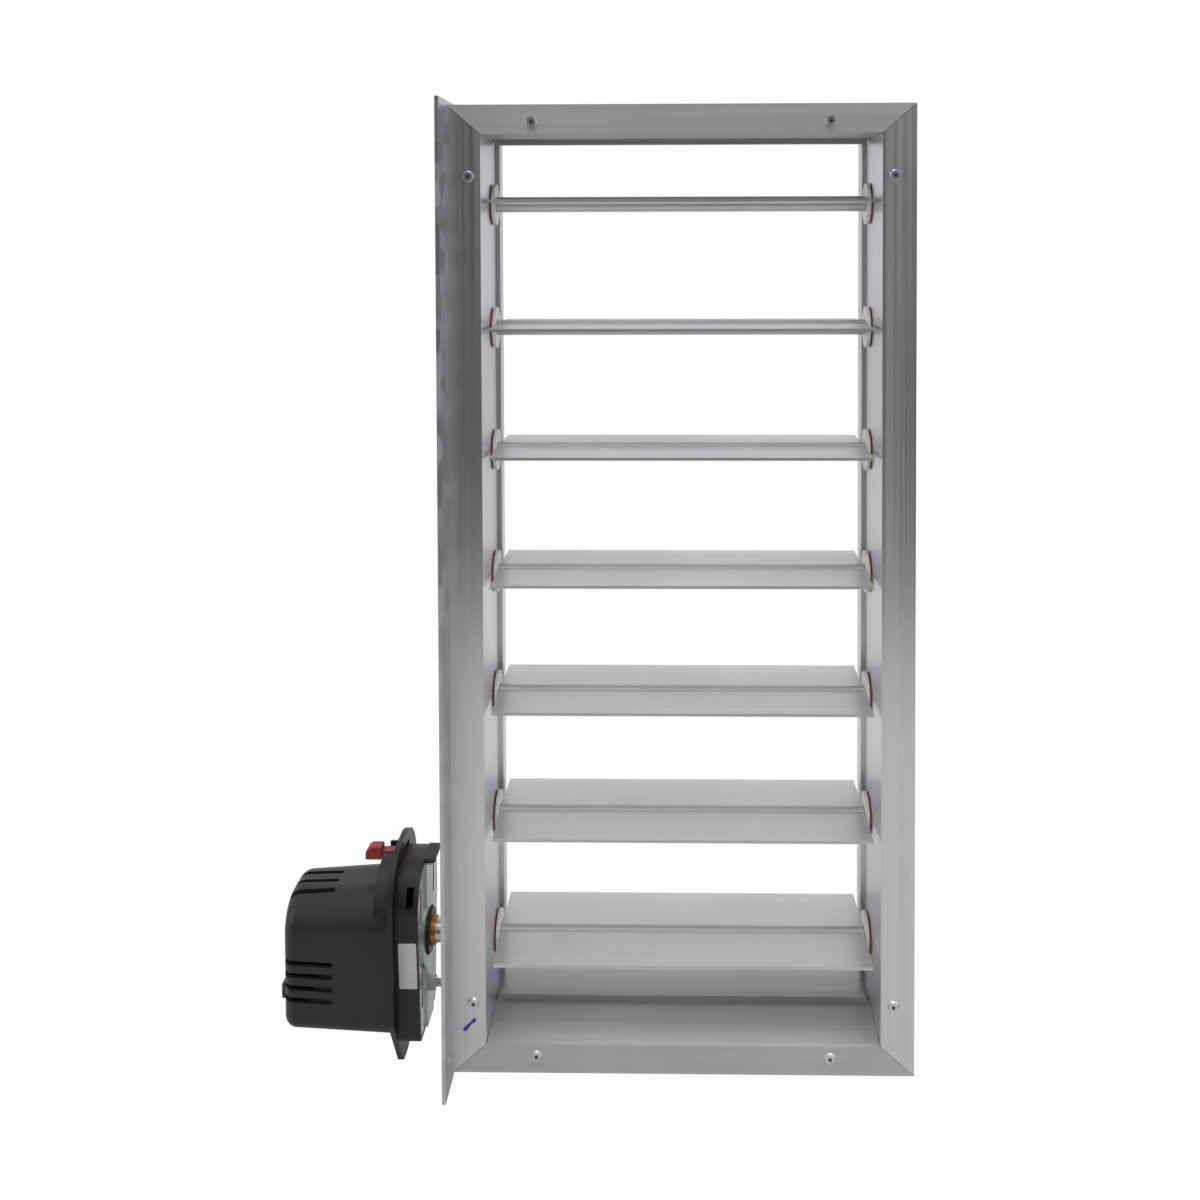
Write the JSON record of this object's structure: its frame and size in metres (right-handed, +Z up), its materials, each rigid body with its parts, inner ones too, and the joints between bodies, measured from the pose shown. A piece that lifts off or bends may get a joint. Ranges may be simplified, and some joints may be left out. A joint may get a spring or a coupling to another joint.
{
  "type": "zone damper",
  "caption": "Rectangular slide-in zone damper: aluminium channel frame with parallel air blades, a mounting plate and a side actuator that opens and closes the airway.",
  "frame": {"origin": "middle of the mounting plate's face on the frame's side, which seats on the duct wall", "axes": "+X from the plate into the duct, across the airway; +Y along the air, away from the viewer; +Z up"},
  "size_m": [0.3401, 0.123, 0.529],
  "materials": {
    "mill_aluminium": "mill finish with fine die lines",
    "galvanised_sheet": "galvanised sheet",
    "zinc_steel": "zinc plated",
    "white_nylon": "moulded nylon",
    "brown_fibre": "vulcanised fibre",
    "dark_plastic": "moulded, fine grain",
    "black_plastic": "moulded",
    "black_rubber": "soft bumper",
    "red_plastic": "moulded",
    "bronze": "sintered bronze",
    "green_board": "solder mask"
  },
  "bodies": {
    "frame": {"actuator_back_plate": "galvanised_sheet", "actuator_base": "dark_plastic", "actuator_housing": "dark_plastic", "anti_rotation_stud": "zinc_steel", "circuit_board": "green_board", "cover_clip": "black_plastic", "frame_bottom_rail": "mill_aluminium", "frame_left_stile": "mill_aluminium", "frame_right_stile": "mill_aluminium", "frame_top_rail": "mill_aluminium", "front_gussets": "galvanised_sheet", "front_rivets": "mill_aluminium", "gear_motor": "zinc_steel", "left_bearings": "white_nylon", "left_washers": "brown_fibre", "mounting_plate": "galvanised_sheet", "mounting_strap": "zinc_steel", "plate_angles": "galvanised_sheet", "plate_rivets": "mill_aluminium", "rear_gussets": "galvanised_sheet", "rear_rivets": "mill_aluminium", "right_bearings": "white_nylon", "right_washers": "brown_fibre", "strap_bumper": "black_rubber", "stud_nuts": "zinc_steel", "terminal_block": "black_plastic"},
    "drive": {"blade_7": "mill_aluminium", "drive_shaft": "zinc_steel", "crank_7": "zinc_steel", "hub_clamp": "black_plastic", "hub_bushing": "bronze", "drive_coupling": "black_plastic"},
    "linkage": {"linkage_bar": "zinc_steel"},
    "lever": {"release_lever": "red_plastic"},
    "blade_1_set": {"blade_1": "mill_aluminium", "blade_shaft_1": "zinc_steel", "crank_1": "zinc_steel"},
    "blade_2_set": {"blade_2": "mill_aluminium", "blade_shaft_2": "zinc_steel", "crank_2": "zinc_steel"},
    "blade_3_set": {"blade_3": "mill_aluminium", "blade_shaft_3": "zinc_steel", "crank_3": "zinc_steel"},
    "blade_4_set": {"blade_4": "mill_aluminium", "blade_shaft_4": "zinc_steel", "crank_4": "zinc_steel"},
    "blade_5_set": {"blade_5": "mill_aluminium", "blade_shaft_5": "zinc_steel", "crank_5": "zinc_steel"},
    "blade_6_set": {"blade_6": "mill_aluminium", "blade_shaft_6": "zinc_steel", "crank_6": "zinc_steel"}
  },
  "joints": [
    {"name": "drive_turn", "type": "hinge", "parent": "frame", "child": "drive", "pos_m": [0, 0, -0.20203], "axis": [-1, 0, 0], "range_deg": [0, 87.5]},
    {"name": "blade_1_turn", "type": "hinge", "parent": "frame", "child": "blade_1_set", "pos_m": [0, 0, 0.20323], "axis": [-1, 0, 0], "range_deg": [0, 87.5]},
    {"name": "blade_2_turn", "type": "hinge", "parent": "frame", "child": "blade_2_set", "pos_m": [0, 0, 0.13569], "axis": [-1, 0, 0], "range_deg": [0, 87.5]},
    {"name": "blade_3_turn", "type": "hinge", "parent": "frame", "child": "blade_3_set", "pos_m": [0, 0, 0.06814], "axis": [-1, 0, 0], "range_deg": [0, 87.5]},
    {"name": "blade_4_turn", "type": "hinge", "parent": "frame", "child": "blade_4_set", "pos_m": [0, 0, 0.0006], "axis": [-1, 0, 0], "range_deg": [0, 87.5]},
    {"name": "blade_5_turn", "type": "hinge", "parent": "frame", "child": "blade_5_set", "pos_m": [0, 0, -0.06694], "axis": [-1, 0, 0], "range_deg": [0, 87.5]},
    {"name": "blade_6_turn", "type": "hinge", "parent": "frame", "child": "blade_6_set", "pos_m": [0, 0, -0.13449], "axis": [-1, 0, 0], "range_deg": [0, 87.5]},
    {"name": "bar_swing", "type": "hinge", "parent": "drive", "child": "linkage", "pos_m": [0.007, -0.01314, -0.1883], "axis": [-1, 0, 0], "range_deg": [-87.5, 0]},
    {"name": "lever_slide", "type": "slide", "parent": "frame", "child": "lever", "axis": [0, 1, 0], "range_m": [0, 0.008], "stiffness_N_per_m": 150}
  ],
  "couplings": [
    {"joint": "blade_1_turn", "follows": "drive_turn", "ratio": 1},
    {"joint": "blade_2_turn", "follows": "drive_turn", "ratio": 1},
    {"joint": "blade_3_turn", "follows": "drive_turn", "ratio": 1},
    {"joint": "blade_4_turn", "follows": "drive_turn", "ratio": 1},
    {"joint": "blade_5_turn", "follows": "drive_turn", "ratio": 1},
    {"joint": "blade_6_turn", "follows": "drive_turn", "ratio": 1},
    {"joint": "bar_swing", "follows": "drive_turn", "ratio": -1}
  ]
}
